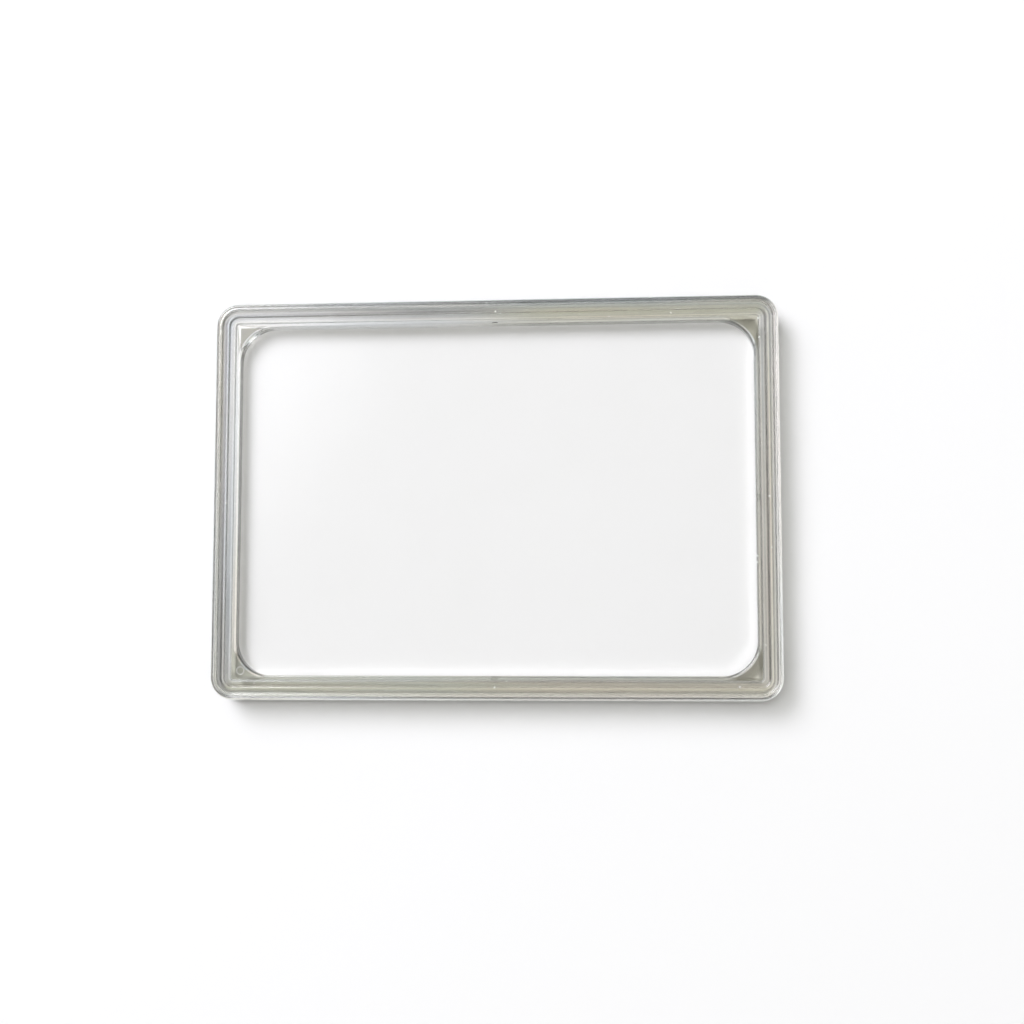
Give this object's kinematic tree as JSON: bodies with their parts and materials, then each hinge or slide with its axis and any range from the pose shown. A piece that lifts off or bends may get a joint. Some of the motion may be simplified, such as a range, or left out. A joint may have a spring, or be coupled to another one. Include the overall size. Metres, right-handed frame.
{
  "type": "magnetic photo frame",
  "caption": "Clear rectangular picture frame with a stepped rim, a window over a blank card, and a push-fit back plate that traps disc magnets and holds to a steel door.",
  "frame": {"origin": "middle of the back face, which is the lowest point when the frame lies on its back", "axes": "+X along the long side, +Y along the short side towards the upper edge, +Z out of the front"},
  "size_m": [0.092, 0.065, 0.0055],
  "materials": {
    "clear_rim": "clear moulded plastic, faint olive grey",
    "clear_pane": "clear sheet",
    "white_card": "plain white card",
    "clear_plate": "clear moulded plastic",
    "nickel": "nickel plated"
  },
  "bodies": {
    "back": {"back_plate": "clear_plate", "magnet_lower_left": "nickel", "magnet_lower_right": "nickel", "magnet_upper_left": "nickel", "magnet_upper_right": "nickel"},
    "front": {"front_frame": "clear_rim"},
    "pane": {"window_pane": "clear_pane"},
    "card": {"insert_card": "white_card"}
  },
  "joints": [
    {"name": "frame_lift", "type": "slide", "parent": "back", "child": "front", "axis": [0, 0, 1], "range_m": [0, 0.025]},
    {"name": "pane_lift", "type": "slide", "parent": "back", "child": "pane", "axis": [0, 0, 1], "range_m": [0, 0.016]},
    {"name": "card_lift", "type": "slide", "parent": "back", "child": "card", "axis": [0, 0, 1], "range_m": [0, 0.008]}
  ],
  "couplings": [
    {"joint": "pane_lift", "follows": "frame_lift", "ratio": 0.64},
    {"joint": "card_lift", "follows": "frame_lift", "ratio": 0.32}
  ]
}
